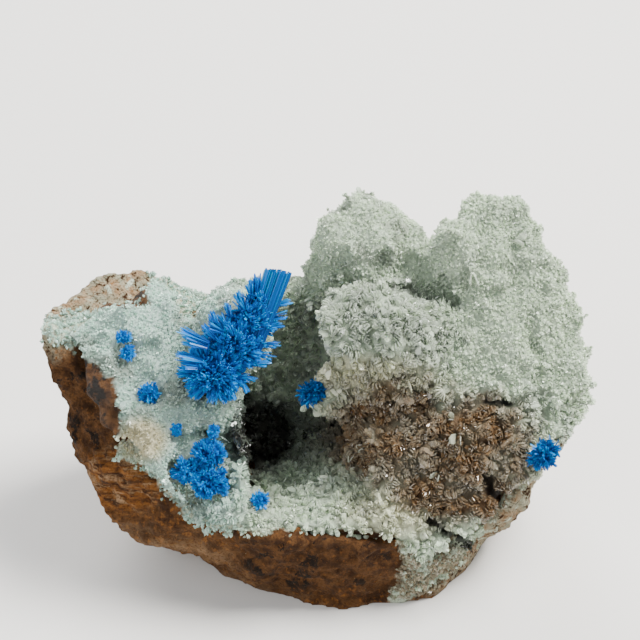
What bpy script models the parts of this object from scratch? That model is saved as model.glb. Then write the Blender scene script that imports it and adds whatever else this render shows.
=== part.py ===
"""Cavansite specimen: blue crystal sprays on a pale crystal druse over a broken basalt matrix.

All figures are millimetres until they are multiplied by MM. X runs along the specimen's length,
Y away from its display side and Z up. At the end all is moved so that it stands on Z = 0.
"""

import math
import random

import bmesh
import bpy
from mathutils import Matrix, Vector, noise
from mathutils.bvhtree import BVHTree
from mathutils.geometry import intersect_ray_tri

MM = 0.001

# Driving dimensions
GAP = 0.45  # clear space kept between two stones or crystals that touch
SOCKET = 2.0  # the stone stays this far off the blue sprays, so that the druse lines their sockets
SHIFT = (0.0, -17.6)  # brings the middle of the outline to the origin
FOOT = -2.3  # the height of the flat it stands on, in the figures below
STONE_VOXEL = 0.6
STONE_FACES = 1500
DRUSE_VOXEL = 0.5
CUTTER_VOXEL = 0.4
DRUSE_FACES = 2700
DRUSE_SINK = 0.8  # the skin between the blades lies this far below their tips
BLADE_COUNT = 330
BLADE_LENGTH = (0.9, 1.9)
BLADE_TIP = 0.35  # a blade's end against its root
SHORTEST_SPIKE = 0.2  # a spike this short no longer gives way to a longer one
DRAW_BACK_ROUNDS = 40


def clear_scene():
    for found in list(bpy.data.objects):
        bpy.data.objects.remove(found)


def finish(name, colour, roughness):
    made = bpy.data.materials.new(name)
    made.use_nodes = True
    shader = made.node_tree.nodes["Principled BSDF"]
    shader.inputs["Base Color"].default_value = (*colour, 1.0)
    shader.inputs["Roughness"].default_value = roughness
    shader.inputs["Metallic"].default_value = 0.0
    return made


def placed(point):
    """A point given in millimetres, in metres and in the specimen's own frame."""
    x, y, z = point
    return Vector(((x + SHIFT[0]) * MM, (y + SHIFT[1]) * MM, z * MM))


def add_block(bm, corners):
    """A broken block: the smallest convex lump that holds its corners."""
    verts = [bm.verts.new(placed(corner)) for corner in corners]
    hull = bmesh.ops.convex_hull(bm, input=verts)
    inside = [v for v in hull["geom_interior"] if isinstance(v, bmesh.types.BMVert)]
    bmesh.ops.delete(bm, geom=inside, context="VERTS")


def add_knob(bm, centre, radii):
    """A rounded growth: a ball drawn out to three radii."""
    shape = Matrix.Translation(placed(centre)) @ Matrix.Diagonal((*(r * MM for r in radii), 1))
    bmesh.ops.create_icosphere(bm, subdivisions=3, radius=1, matrix=shape)


def add_cone(bm, foot, foot_radius, top, top_radius):
    """A tapering tower between two discs."""
    rings = []
    for centre, radius in ((foot, foot_radius), (top, top_radius)):
        for step in range(14):
            turn = math.tau * step / 14
            rings.append((centre[0] + radius * math.cos(turn), centre[1] + radius * math.sin(turn), centre[2]))
    add_block(bm, rings)


def new_object(name, bm, surface=None):
    mesh = bpy.data.meshes.new(name)
    bm.to_mesh(mesh)
    bm.free()
    made = bpy.data.objects.new(name, mesh)
    bpy.context.scene.collection.objects.link(made)
    if surface:
        mesh.materials.append(surface)
    return made


def settle(made):
    """Applies an object's modifiers, so that the next step can read or move its vertices."""
    bpy.context.view_layer.update()
    graph = bpy.context.evaluated_depsgraph_get()
    mesh = bpy.data.meshes.new_from_object(made.evaluated_get(graph), depsgraph=graph)
    old = made.data
    made.modifiers.clear()
    made.data = mesh
    bpy.data.meshes.remove(old)


def grow_together(made, voxel, smoothing):
    """Makes one closed skin round overlapping lumps."""
    skin = made.modifiers.new("one skin", "REMESH")
    skin.mode = "VOXEL"
    skin.voxel_size = voxel * MM
    if smoothing:
        soft = made.modifiers.new("soften", "SMOOTH")
        soft.factor = 0.5
        soft.iterations = smoothing
    settle(made)


def roughen(made, layers, sink, voxel):
    """Moves the skin in and out along its normals. A layer is (size, height, seed), in millimetres."""
    bm = bmesh.new()
    bm.from_mesh(made.data)
    bm.normal_update()
    moves = []
    for vert in bm.verts:
        height = -sink
        for size, amount, seed in layers:
            where = vert.co / (size * MM) + Vector((seed, -seed, 2 * seed))
            height += amount * noise.noise(where)
        moves.append(vert.normal * height * MM)
    for vert, move in zip(bm.verts, moves):
        vert.co += move
    bm.to_mesh(made.data)
    bm.free()
    grow_together(made, voxel, 0)
    keep_largest_body(made)


def thin_out(made, faces):
    """Collapses the fine skin to about this many flat facets."""
    fewer = made.modifiers.new("facets", "DECIMATE")
    fewer.ratio = min(1.0, faces / (2 * len(made.data.polygons)))
    settle(made)


def helper(made):
    made.hide_render = True
    made.display_type = "WIRE"
    return made


def cut_away(made, cutter):
    """Takes the cutter's space out of an object."""
    cut = made.modifiers.new("cut", "BOOLEAN")
    cut.operation = "DIFFERENCE"
    cut.object = cutter
    cut.solver = "EXACT"
    settle(made)


def keep_largest_body(made):
    """Drops the crumbs that a cut leaves beside the main body."""
    bm = bmesh.new()
    bm.from_mesh(made.data)
    left, bodies = set(bm.verts), []
    while left:
        reached, edge = set(), [left.pop()]
        while edge:
            vert = edge.pop()
            reached.add(vert)
            for link in vert.link_edges:
                other = link.other_vert(vert)
                if other in left:
                    left.remove(other)
                    edge.append(other)
        bodies.append(reached)
    bodies.sort(key=len)
    for crumb in bodies[:-1]:
        bmesh.ops.delete(bm, geom=list(crumb), context="VERTS")
    bm.to_mesh(made.data)
    bm.free()


def cut_flat(made, height):
    """Saws the underside off level, as the stone's resting face."""
    bm = bmesh.new()
    bm.from_mesh(made.data)
    everything = list(bm.verts) + list(bm.edges) + list(bm.faces)
    level = Vector((0, 0, height * MM))
    bmesh.ops.bisect_plane(bm, geom=everything, plane_co=level, plane_no=(0, 0, 1), clear_inner=True)
    rim = [e for e in bm.edges if e.is_boundary]
    bmesh.ops.contextual_create(bm, geom=rim)
    bmesh.ops.recalc_face_normals(bm, faces=bm.faces)
    bmesh.ops.triangulate(bm, faces=bm.faces)
    bm.to_mesh(made.data)
    bm.free()


# The broken stone: each block is a list of corners
LEFT_BLOCK = [
    (-30.0, 16.0, 24.9), (-29.2, 20.5, 24.8), (-26.3, 22.8, 25.4), (-22.6, 24.6, 25.6), (-19.8, 26.2, 25.4),
    (-12.4, 24.0, 22.8), (-24.0, 17.5, 24.6), (-15.0, 19.6, 23.6), (-23.2, 10.0, 19.4), (-22.7, 8.2, 16.2),
    (-21.4, 7.2, 14.6), (-19.2, 5.6, 12.0), (-16.2, 3.9, 10.4), (-13.8, 2.6, 9.0), (-8.0, 0.6, 9.2),
    (-28.6, 13.4, 20.2), (-27.4, 11.4, 15.2), (-25.8, 8.8, 11.2), (-23.8, 6.8, 6.8), (-22.2, 6.4, 4.0),
    (-17.4, 4.6, 2.6), (-13.6, 3.6, 1.6), (-7.0, 1.6, 0.4), (-27.0, 22.0, 12.0), (-22.0, 26.5, 6.0),
    (-14.0, 28.5, 1.0), (-17.0, 14.0, 1.2), (-10.6, 28.4, 19.0), (-9.4, 29.4, 8.0), (-9.6, 28.6, 1.0),
]
FOOT_BLOCK = [
    (-10.0, 5.2, -5.5), (-5.0, 2.0, -5.5), (2.0, 0.2, -5.5), (7.5, 1.1, -5.5), (12.5, 4.0, -5.5),
    (15.8, 7.2, -5.5), (19.0, 14.0, -5.5), (17.0, 25.0, -5.5), (8.0, 31.0, -5.5), (-8.0, 29.0, -5.5),
    (-14.0, 22.0, -5.5), (-14.0, 10.0, -5.5), (-13.0, 4.0, 4.6), (3.0, 0.3, 4.8), (11.8, 1.2, 3.0),
    (15.0, 2.6, 3.4), (19.0, 8.0, 3.0), (20.0, 18.0, 5.0), (20.0, 29.0, 6.0), (8.0, 34.0, 6.0),
    (-8.0, 31.0, 6.0), (-14.0, 25.0, 5.5), (-14.0, 10.0, 4.8),
]
RIGHT_BLOCK = [
    (9.0, 2.0, 2.0), (15.0, 2.2, 5.2), (19.4, 4.2, 8.4), (21.8, 6.6, 11.2), (24.6, 9.2, 13.4),
    (28.2, 13.6, 15.0), (28.6, 18.0, 14.6), (26.6, 24.6, 13.0), (20.0, 28.6, 12.0), (9.0, 29.0, 11.0),
    (9.0, 14.0, 7.0), (19.9, 8.0, 2.2), (23.2, 9.6, 6.5), (24.8, 11.0, 9.0), (26.6, 12.6, 11.6),
    (15.8, 6.2, -1.0), (20.0, 14.0, -1.0), (18.0, 26.0, -1.0), (9.0, 20.0, -1.0), (24.0, 22.0, 6.0),
]
FRONT_RIM = [
    (-13.4, 2.2, 9.8), (-8.0, 0.5, 9.7), (-4.0, 0.2, 9.6), (0.0, 0.3, 9.0), (4.0, 0.1, 9.2), (8.2, 0.5, 8.8),
    (10.6, 0.8, 4.6), (-13.0, 3.6, 1.9), (-6.5, 1.2, 0.0), (3.0, -0.3, 0.0), (10.4, 0.9, 0.0),
    (-13.0, 6.0, 7.0), (9.0, 3.4, 7.2), (0.0, 3.4, 7.2), (-8.0, 3.6, 7.4), (0.0, 5.0, -2.0),
]
REAR_WALL = [
    (-13.0, 26.4, 20.0), (-4.0, 27.2, 19.4), (3.0, 27.6, 18.0), (10.0, 30.0, 16.0), (21.0, 29.4, 13.0),
    (-13.0, 29.8, 17.0), (-4.0, 31.6, 17.0), (8.0, 35.2, 14.5), (22.0, 31.4, 11.0), (-13.0, 25.4, 3.0),
    (21.0, 26.4, 3.0), (8.0, 33.4, 0.0), (-8.0, 30.4, 0.0), (18.0, 28.0, 0.0),
]

# The crystal druse: slabs that drape the stone, and the knobs and towers that stand on it
DISPLAY_FACE = [
    (-29.0, 15.0, 26.3), (-25.4, 11.6, 24.6), (-22.2, 17.4, 27.0), (-15.0, 18.5, 27.2), (-11.0, 17.4, 26.4),
    (-9.0, 12.4, 22.8), (-7.8, 6.6, 17.4), (-7.0, 0.9, 11.6), (-13.6, 0.7, 10.9), (-15.8, 1.6, 12.4),
    (-18.8, 3.0, 14.0), (-20.8, 4.6, 16.6), (-22.4, 5.6, 18.2), (-23.0, 7.6, 21.4), (-27.0, 18.5, 22.0),
    (-12.0, 20.0, 20.0), (-8.4, 13.0, 12.0), (-8.0, 5.0, 6.0), (-18.0, 10.0, 14.0),
]
LEDGE = [
    (-27.6, 17.2, 26.0), (-24.0, 20.6, 25.9), (-19.2, 23.6, 26.0), (-12.6, 23.2, 24.8),
    (-15.0, 18.2, 26.8), (-25.0, 18.0, 22.0), (-14.0, 23.0, 21.0),
]
BOWL_FLOOR = [
    (-9.0, 1.2, 10.8), (-4.0, 0.9, 10.4), (0.0, 0.9, 10.0), (9.0, 0.9, 9.9), (12.0, 1.6, 10.4),
    (-8.0, 9.0, 8.0), (2.0, 9.5, 8.0), (10.0, 9.5, 9.6), (-8.0, 4.0, 4.6), (0.0, 3.0, 4.6),
    (10.0, 4.0, 4.6), (0.0, 10.0, 4.4),
]
BACK_OF_HOLLOW = [
    (-13.0, 22.4, 23.4), (-4.0, 22.6, 23.4), (3.0, 22.0, 24.6), (-13.0, 27.4, 22.8), (-4.0, 28.4, 22.4),
    (3.0, 28.6, 24.0), (-12.0, 20.6, 5.0), (2.0, 20.4, 5.0), (-12.0, 27.0, 10.0), (2.0, 28.0, 12.0),
]
RIGHT_MASS = [
    (8.3, 0.3, 3.2), (11.8, 0.4, 4.6), (15.2, 1.2, 7.2), (19.8, 3.3, 10.0), (22.2, 5.4, 12.7),
    (25.2, 8.0, 15.0), (29.2, 12.6, 16.6), (30.2, 13.8, 18.4), (29.8, 15.8, 21.4), (20.0, 8.6, 20.4),
    (8.0, 1.0, 9.2), (8.0, 9.0, 19.0), (3.2, 10.0, 15.0), (5.6, 6.4, 9.0), (3.0, 13.0, 7.0),
    (27.0, 26.0, 14.5), (20.0, 30.4, 14.0), (6.0, 31.4, 15.0), (26.2, 23.6, 23.2), (4.0, 24.0, 22.0),
    (12.0, 4.0, 2.4), (24.0, 14.0, 9.0),
]
RIGHT_SLOPE = [
    (29.8, 15.8, 21.4), (27.5, 17.7, 26.0), (24.2, 21.2, 32.0), (23.0, 23.8, 36.4), (16.0, 26.4, 36.0),
    (15.0, 22.4, 35.2), (18.6, 21.4, 36.8), (15.0, 16.0, 30.4), (20.0, 12.4, 25.4), (26.0, 12.8, 22.4),
    (12.0, 22.0, 24.0), (25.8, 24.6, 22.0), (14.0, 28.6, 22.0), (22.0, 28.0, 22.0),
]
SHOULDER = [
    (8.0, 10.4, 24.6), (11.5, 8.6, 21.8), (20.0, 8.9, 20.8), (27.0, 11.6, 20.2), (20.4, 12.4, 25.4),
    (27.2, 14.6, 23.2), (12.0, 15.0, 28.4), (21.0, 17.0, 28.4), (10.0, 20.0, 22.0), (25.0, 20.0, 20.0),
    (6.0, 14.0, 20.0),
]
LUMPS = [
    ((4.9, 25.4, 29.3), (5.5, 5.5, 5.3)),  # the rear tower's dome
    ((4.9, 26.0, 34.0), (2.0, 2.0, 1.2)),  # and the cap on it
    ((1.0, 24.4, 25.6), (3.3, 3.8, 3.3)),
    ((11.9, 24.6, 27.0), (4.8, 4.2, 4.6)),  # the saddle between the towers
    ((14.6, 20.6, 31.4), (3.4, 3.6, 4.4)),
    ((9.6, 19.6, 24.4), (4.0, 3.8, 3.2)),
    ((6.4, 15.2, 26.4), (6.2, 4.8, 3.9)),  # the lip over the hollow
    ((1.8, 14.0, 26.8), (3.0, 3.2, 3.2)),
    ((2.8, 12.0, 24.9), (2.8, 2.6, 2.2)),
    ((8.0, 11.4, 25.0), (3.8, 2.8, 2.2)),
    ((26.4, 14.4, 20.0), (3.4, 3.8, 4.6)),
    ((0.9, 12.2, 19.0), (2.6, 2.8, 4.0)),  # the wall under the lip
    ((6.4, 12.2, 20.4), (5.4, 3.4, 3.4)),
    ((3.2, 12.8, 17.6), (2.6, 3.0, 4.0)),
    ((-10.2, 13.4, 18.0), (2.6, 3.6, 4.4)),  # the hollow's left wall
    ((-8.8, 8.6, 12.6), (2.4, 3.0, 3.4)),
    ((-5.0, 11.6, 5.9), (4.6, 4.6, 2.5)),  # the hollow's floor
    ((1.0, 14.6, 5.8), (4.8, 5.4, 2.9)),
    ((-6.0, 18.0, 5.5), (5.6, 4.8, 2.8)),
    ((4.6, 10.6, 7.6), (5.0, 4.6, 3.0)),
    ((-1.5, 23.0, 5.8), (5.0, 3.6, 2.6)),
    ((-8.2, 21.0, 6.2), (3.4, 3.4, 2.4)),
    ((-11.0, 21.4, 22.6), (3.6, 3.0, 2.6)),  # where the display face meets the hollow's back
    ((-8.4, 4.6, 10.0), (2.6, 3.6, 2.2)),  # and its front
]
REAR_TOWER = ((4.8, 24.8, 12.0), 5.1, (4.7, 25.2, 28.0), 4.7)

# Deep slots between crystals at the lower right: middle, direction along, half sizes along, across and deep
SLOTS = [
    ((13.2, 1.5, 8.8), (0.85, 0.3, -0.45), (2.4, 0.7, 2.6)),
    ((19.4, 4.6, 12.8), (0.3, 0.3, -0.9), (1.6, 0.8, 2.4)),
    ((19.6, 9.2, 20.4), (1.0, 0.0, 0.1), (1.7, 0.45, 1.8)),
]
VIEW_SIDE = Vector((0.0, -0.77, 0.64)).normalized()


def build_stone(surface):
    bm = bmesh.new()
    for corners in (LEFT_BLOCK, FOOT_BLOCK, RIGHT_BLOCK, FRONT_RIM, REAR_WALL):
        add_block(bm, corners)
    stone = new_object("basalt_matrix", bm, surface)
    grow_together(stone, STONE_VOXEL, 0)
    keep_largest_body(stone)
    roughen(stone, [(7.0, 1.1, 3.0), (2.6, 0.7, 11.0)], 0.2, STONE_VOXEL)
    return stone


def build_druse_skin(surface):
    bm = bmesh.new()
    for corners in (DISPLAY_FACE, LEDGE, BOWL_FLOOR, BACK_OF_HOLLOW, RIGHT_MASS, RIGHT_SLOPE, SHOULDER):
        add_block(bm, corners)
    for centre, radii in LUMPS:
        add_knob(bm, centre, radii)
    add_cone(bm, *REAR_TOWER)
    druse = new_object("stilbite_druse", bm, surface)
    grow_together(druse, DRUSE_VOXEL, 3)
    keep_largest_body(druse)
    roughen(druse, [(6.0, 1.0, 5.0), (2.4, 0.9, 17.0)], DRUSE_SINK, DRUSE_VOXEL)
    return druse


def surface_tree(made):
    bm = bmesh.new()
    bm.from_mesh(made.data)
    tree = BVHTree.FromBMesh(bm)
    bm.free()
    return tree


def grow_spikes(bm, faces, source, lengths, tip, rng, lean=0.0, axis=None):
    """Draws each face out into a tapering crystal that points away from the source."""
    if not faces:
        return []
    spikes = []
    drawn = bmesh.ops.extrude_discrete_faces(bm, faces=faces)["faces"]
    for face in drawn:
        middle = face.calc_center_median()
        way = (middle - source).normalized()
        if axis:
            way = (way + axis * lean).normalized()
        length = rng.uniform(*lengths) * MM
        for vert in face.verts:
            vert.co = middle + (vert.co - middle) * tip + way * length
        spikes.append([list(face.verts), way * length])
    return spikes


def faces_cross(first, second):
    """Whether two overlapping triangles run through each other, and don't only meet at their shared corners."""
    shared = set(first.verts) & set(second.verts)
    if len(shared) != 1:
        return not shared
    for face, other in ((first, second), (second, first)):
        start, end = (vert.co for vert in face.verts if vert not in shared)
        corners = [vert.co for vert in other.verts]
        hit = intersect_ray_tri(*corners, end - start, start, True)
        if hit and (hit - start).length < (end - start).length:
            return True
    return False


def draw_back(bm, spikes):
    """Shortens the spikes that run into each other until none does. The shorter of two gives way first."""
    for _ in range(DRAW_BACK_ROUNDS):
        bm.faces.index_update()
        bm.faces.ensure_lookup_table()
        owner = {face.index: spike for spike in spikes for vert in spike[0] for face in vert.link_faces}
        tree = BVHTree.FromBMesh(bm)
        shorter = []
        for first, second in tree.overlap(tree):
            if first < second and faces_cross(bm.faces[first], bm.faces[second]):
                pair = [owner[index] for index in (first, second) if index in owner]
                pair.sort(key=lambda spike: spike[1].length)
                long_enough = [spike for spike in pair if spike[1].length > SHORTEST_SPIKE * MM]
                if long_enough and not any(long_enough[0] is spike for spike in shorter):
                    shorter.append(long_enough[0])
        if not shorter:
            return
        for spike in shorter:
            for vert in spike[0]:
                vert.co -= spike[1] * 0.2
            spike[1] = spike[1] * 0.8


# Blue sprays: name, core balls (middle, radii), faces on the core, needle lengths, tip, lean along the axis
SPRAYS = [
    ("cavansite_main_spray", [
        ((-11.2, 11.0, 23.4), (3.1, 2.4, 2.7)), ((-9.0, 12.6, 25.6), (3.2, 1.8, 2.4)),
        ((-7.2, 14.4, 28.0), (2.6, 1.4, 2.2)), ((-5.8, 15.8, 30.2), (1.7, 1.0, 1.5)),
    ], 190, (0.9, 2.0), 0.25, (0.31, 0.33, 0.89), 0.5),
    ("cavansite_lower_spray", [
        ((-11.8, 6.4, 15.7), (1.5, 1.2, 1.4)), ((-11.7, 4.8, 13.4), (1.8, 1.4, 1.5)),
        ((-14.0, 5.3, 14.5), (1.4, 0.9, 0.9)),
    ], 100, (0.8, 1.7), 0.25, (0.0, -0.77, 0.64), 0.25),
    ("cavansite_hollow_ball", [((-0.9, 10.9, 20.2), (0.9, 0.8, 0.8))], 32, (0.5, 0.8), 0.3, None, 0.0),
    ("cavansite_right_rosette", [
        ((23.6, 6.4, 16.2), (1.0, 0.8, 0.9)), ((22.9, 5.8, 15.1), (0.9, 0.7, 0.9)),
    ], 40, (0.5, 0.9), 0.3, (0.0, -0.77, 0.64), 0.5),
    ("cavansite_left_tuft_upper", [((-20.8, 13.8, 25.4), (0.5, 0.5, 0.5))], 20, (0.3, 0.6), 0.3, None, 0.0),
    ("cavansite_left_tuft_lower", [((-20.4, 12.6, 23.9), (0.75, 0.5, 0.45))], 20, (0.3, 0.6), 0.3, None, 0.0),
    ("cavansite_left_rosette", [((-18.2, 10.1, 21.0), (0.75, 0.6, 0.8))], 28, (0.4, 0.7), 0.3, None, 0.0),
    ("cavansite_crevice_tuft", [((-15.4, 7.4, 17.9), (0.4, 0.6, 1.2))], 20, (0.2, 0.5), 0.3, None, 0.0),
    ("cavansite_small_dot", [((-11.3, 7.3, 17.8), (0.45, 0.45, 0.45))], 20, (0.2, 0.4), 0.3, None, 0.0),
    ("cavansite_front_tuft", [((-6.7, 3.4, 11.6), (0.5, 0.5, 0.9))], 20, (0.3, 0.6), 0.3, None, 0.0),
]
BUNDLE = 3.6  # the longest crystals of the main spray's flat bundle


def build_spray(entry, surface, rng):
    """A blue spray: a lumpy core whose every facet is drawn out into a needle, or at the far end of a long
    spray into a thicker blade of its flat bundle."""
    name, balls, faces, lengths, tip, axis, lean = entry
    bm = bmesh.new()
    for centre, radii in balls:
        add_knob(bm, centre, radii)
    spray = new_object(name, bm, surface)
    grow_together(spray, 0.22, 2)
    thin_out(spray, faces)
    bm = bmesh.new()
    bm.from_mesh(spray.data)
    bm.normal_update()
    source = placed(balls[0][0])
    axis = Vector(axis).normalized() if axis else None
    ends = [f for f in bm.faces if len(balls) > 3 and f.normal.dot(axis) > 0.72]
    others = [f for f in bm.faces if f not in ends]
    spikes = grow_spikes(bm, ends, source, (BUNDLE * 0.5, BUNDLE), 0.55, rng, 3.0, axis)
    spikes += grow_spikes(bm, others, source, lengths, tip, rng, lean, axis)
    bmesh.ops.recalc_face_normals(bm, faces=bm.faces)
    bmesh.ops.triangulate(bm, faces=bm.faces)
    draw_back(bm, spikes)
    bm.to_mesh(spray.data)
    bm.free()
    return spray


def add_swollen(bm, made, by):
    """Adds an object's own skin, grown by a gap."""
    copy = bmesh.new()
    copy.from_mesh(made.data)
    copy.normal_update()
    pushes = [vert.normal * by * MM for vert in copy.verts]
    for vert, push in zip(copy.verts, pushes):
        vert.co += push
    grown = bpy.data.meshes.new("grown")
    copy.to_mesh(grown)
    copy.free()
    bm.from_mesh(grown)
    bpy.data.meshes.remove(grown)


def add_hull(bm, made, by):
    """Adds the smallest convex lump round an object, grown by a gap."""
    middle = sum((v.co for v in made.data.vertices), Vector()) / len(made.data.vertices)
    corners = []
    for vert in made.data.vertices:
        away = vert.co - middle
        corners.append(bm.verts.new(vert.co + away.normalized() * by * MM))
    hull = bmesh.ops.convex_hull(bm, input=corners)
    inside = [v for v in hull["geom_interior"] if isinstance(v, bmesh.types.BMVert)]
    bmesh.ops.delete(bm, geom=inside, context="VERTS")


def add_slot(bm, entry):
    """Adds a thin block set square into the display side, its long side along the slot."""
    middle, along, halves = entry
    along = Vector(along).normalized()
    across = VIEW_SIDE.cross(along).normalized()
    deep = along.cross(across)
    turn = Matrix((along, across, deep)).transposed().to_4x4()
    sizes = Matrix.Diagonal((*(2 * h * MM for h in halves), 1))
    bmesh.ops.create_cube(bm, size=1, matrix=Matrix.Translation(placed(middle)) @ turn @ sizes)


def clearance(name, sprays, gap, stone=None):
    """A helper: the space of the blue sprays and a gap, in one skin, that their neighbours keep out of.

    With a stone, it is the space that the druse keeps out of: the stone's and the slots' too.
    """
    bm = bmesh.new()
    for spray in sprays:
        add_hull(bm, spray, gap)
    if stone:
        add_swollen(bm, stone, GAP)
        for entry in SLOTS:
            add_slot(bm, entry)
    cutter = new_object(name, bm)
    grow_together(cutter, CUTTER_VOXEL, 0)
    return helper(cutter)


def grow_blades(druse, stone, sprays, rng):
    """Draws facets of the druse out into flat-faced crystals, clear of the stone and of the blue sprays."""
    stone_tree = surface_tree(stone)
    spray_trees = [surface_tree(spray) for spray in sprays]
    bm = bmesh.new()
    bm.from_mesh(druse.data)
    bm.normal_update()
    free = []
    for face in bm.faces:
        middle = face.calc_center_median()
        tip = middle + face.normal * 2.0 * MM
        near_stone = min(stone_tree.find_nearest(p)[3] for p in (middle, tip)) < 1.5 * MM
        near_spray = any(tree.find_nearest(tip)[3] < 1.9 * MM for tree in spray_trees)
        if near_stone or near_spray or face.calc_area() < 0.5 * MM * MM:
            continue
        free.append(face)
    rng.shuffle(free)
    blades = []
    for face in free[:BLADE_COUNT]:
        middle = face.calc_center_median()
        way = (face.normal + Vector([rng.uniform(-0.5, 0.5) for _ in range(3)])).normalized()
        length = rng.uniform(*BLADE_LENGTH) * MM
        root = bmesh.ops.extrude_discrete_faces(bm, faces=[face])["faces"][0]
        for vert in root.verts:
            vert.co = middle + (vert.co - middle) * BLADE_TIP + way * length
        blades.append([list(root.verts), way * length])
    bmesh.ops.triangulate(bm, faces=bm.faces)
    draw_back(bm, blades)
    bm.to_mesh(druse.data)
    bm.free()


def centre_outline(pieces):
    """Moves everything so that the middle of the outline, seen from above, is the origin."""
    points = [vert.co for piece in pieces for vert in piece.data.vertices]
    middle = Vector((0.0, 0.0, FOOT * MM))
    for axis in (0, 1):
        reach = [point[axis] for point in points]
        middle[axis] = (min(reach) + max(reach)) / 2
    for piece in pieces:
        piece.data.transform(Matrix.Translation(-middle))


def main():
    clear_scene()
    rng = random.Random(7)
    stone_brown = finish("basalt", (0.22, 0.12, 0.06), 0.85)
    druse_pale = finish("stilbite", (0.62, 0.64, 0.57), 0.35)
    vivid_blue = finish("cavansite", (0.01, 0.16, 0.62), 0.3)
    stone = build_stone(stone_brown)
    druse = build_druse_skin(druse_pale)
    sprays = [build_spray(entry, vivid_blue, rng) for entry in SPRAYS]
    cut_away(stone, clearance("stone_clearance", sprays, SOCKET))
    grow_together(stone, STONE_VOXEL, 0)
    cut_away(druse, clearance("druse_clearance", sprays, GAP, stone))
    grow_together(druse, DRUSE_VOXEL, 0)
    keep_largest_body(druse)
    thin_out(druse, DRUSE_FACES)
    thin_out(stone, STONE_FACES)
    cut_flat(stone, FOOT)
    keep_largest_body(stone)
    grow_blades(druse, stone, sprays, rng)
    centre_outline([stone, druse, *sprays])


main()
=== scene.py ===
"""Looks of the cavansite specimen: brown basalt, a pale crystal druse and blue cavansite sprays.

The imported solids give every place. Each one is replaced by a finer skin or by separate crystals that
stand where it stands. Lengths named in millimetres are multiplied by MM.
"""

import math

import bmesh
import bpy
import numpy as np
from mathutils import Matrix, Vector, noise
from mathutils.bvhtree import BVHTree


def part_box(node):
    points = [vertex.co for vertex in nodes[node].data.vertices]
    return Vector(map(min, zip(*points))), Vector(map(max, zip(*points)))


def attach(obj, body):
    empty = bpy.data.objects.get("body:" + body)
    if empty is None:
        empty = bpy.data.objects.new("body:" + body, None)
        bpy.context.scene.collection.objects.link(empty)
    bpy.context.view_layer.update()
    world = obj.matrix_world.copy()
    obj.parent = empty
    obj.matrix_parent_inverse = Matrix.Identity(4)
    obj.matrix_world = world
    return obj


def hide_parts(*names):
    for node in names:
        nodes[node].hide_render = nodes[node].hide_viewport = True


MM = 0.001
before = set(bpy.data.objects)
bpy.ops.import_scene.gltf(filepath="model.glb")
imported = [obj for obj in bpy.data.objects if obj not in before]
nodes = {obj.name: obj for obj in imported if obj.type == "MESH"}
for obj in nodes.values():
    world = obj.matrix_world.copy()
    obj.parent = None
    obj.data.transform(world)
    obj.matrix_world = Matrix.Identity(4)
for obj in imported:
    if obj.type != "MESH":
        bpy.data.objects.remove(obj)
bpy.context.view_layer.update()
rng = np.random.default_rng(41)

# Camera: it looks down on the display side
VIEW_ELEVATION = math.radians(40)
VIEW_TARGET = Vector((-0.1, 1.0, 26.3)) * MM
VIEW_DISTANCE = 220 * MM
VIEW_ANGLE = math.radians(17.7)
VIEW_BACK = Vector((0.0, -math.cos(VIEW_ELEVATION), math.sin(VIEW_ELEVATION)))
VIEW_UP = Vector((0.0, math.sin(VIEW_ELEVATION), math.cos(VIEW_ELEVATION)))
TO_VIEWER = np.array(VIEW_BACK)
UPWARD = np.array(VIEW_UP)

# Regions of the display side: centre and radii of ellipses, in millimetres, as (x, rise)
LIP = ((5.5, 18.5), (8.5, 6.5))
LIP_EDGE = ((4.0, 14.9), (8.0, 2.0))
# The hollow and the wider area round it are darkened in colour: painted shade
HOLLOW = ((-6.3, 8.4), (3.7, 3.9))
HOLLOW_SHADE = ((-3.8, 7.0), (6.8, 4.8))
BROWN_PATCHES = [((8.0, 8.6), (7.8, 5.4)), ((15.9, 7.0), (7.0, 5.8)), ((14.5, 2.5), (6.5, 3.0))]
WARM_FLOOR = ((8.5, 0.5), (6.0, 2.8))
CREAM_LUMP = ((-19.2, 7.9), (2.7, 2.2))
DARK_FACE = ((-25.0, 11.5), (4.8, 8.0))
FIBROUS_ROCK = ((-21.6, 3.6), (4.6, 3.4))
DARK_RIM = ((-0.5, -5.0), (9.5, 3.6))
RIM_CRUST = ((11.0, -6.0), (5.0, 4.0))
# Dark slots in the lower right of the druse, sunk into it and darkened further with painted shade: both
# ends and the half width
SLOTS = [
    ((11.3, -0.4), (15.6, -3.2), 0.6), ((17.7, 4.0), (18.8, 2.0), 0.8),
    ((17.9, 12.2), (20.4, 11.9), 0.42),
]
# Larger clear plates: their places on the display side
LARGE_PLATES = [
    (-10.3, 7.8), (3.1, 5.9), (14.7, 8.2), (14.0, 10.3), (6.5, 15.2), (1.2, 20.5),
    (0.2, 22.4), (9.0, 14.4), (4.3, 6.9), (16.3, 25.4), (21.0, 29.2), (12.4, 4.2),
]
# The seam between druse and stone along the front rim, closed by balls
RIM_SEAM = [
    (-13.0, 0.3), (-9.0, -0.2), (-5.6, -0.7), (-2.0, -1.2), (2.0, -1.5), (8.6, -1.9), (11.4, -4.8),
]
# Swellings of the towers: place on the display side, shift from it to the right and up, radius
TOWER_SWELLS = [
    ((2.2, 29.2), (-0.1, 0.3), 3.0), ((18.0, 31.4), (0.3, 1.3), 1.6), ((19.8, 31.4), (0.9, 1.2), 1.7),
]
VALLEY = (11.5, 1.2, 1.9)  # place across, half width and depth of the notch between the towers
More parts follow.
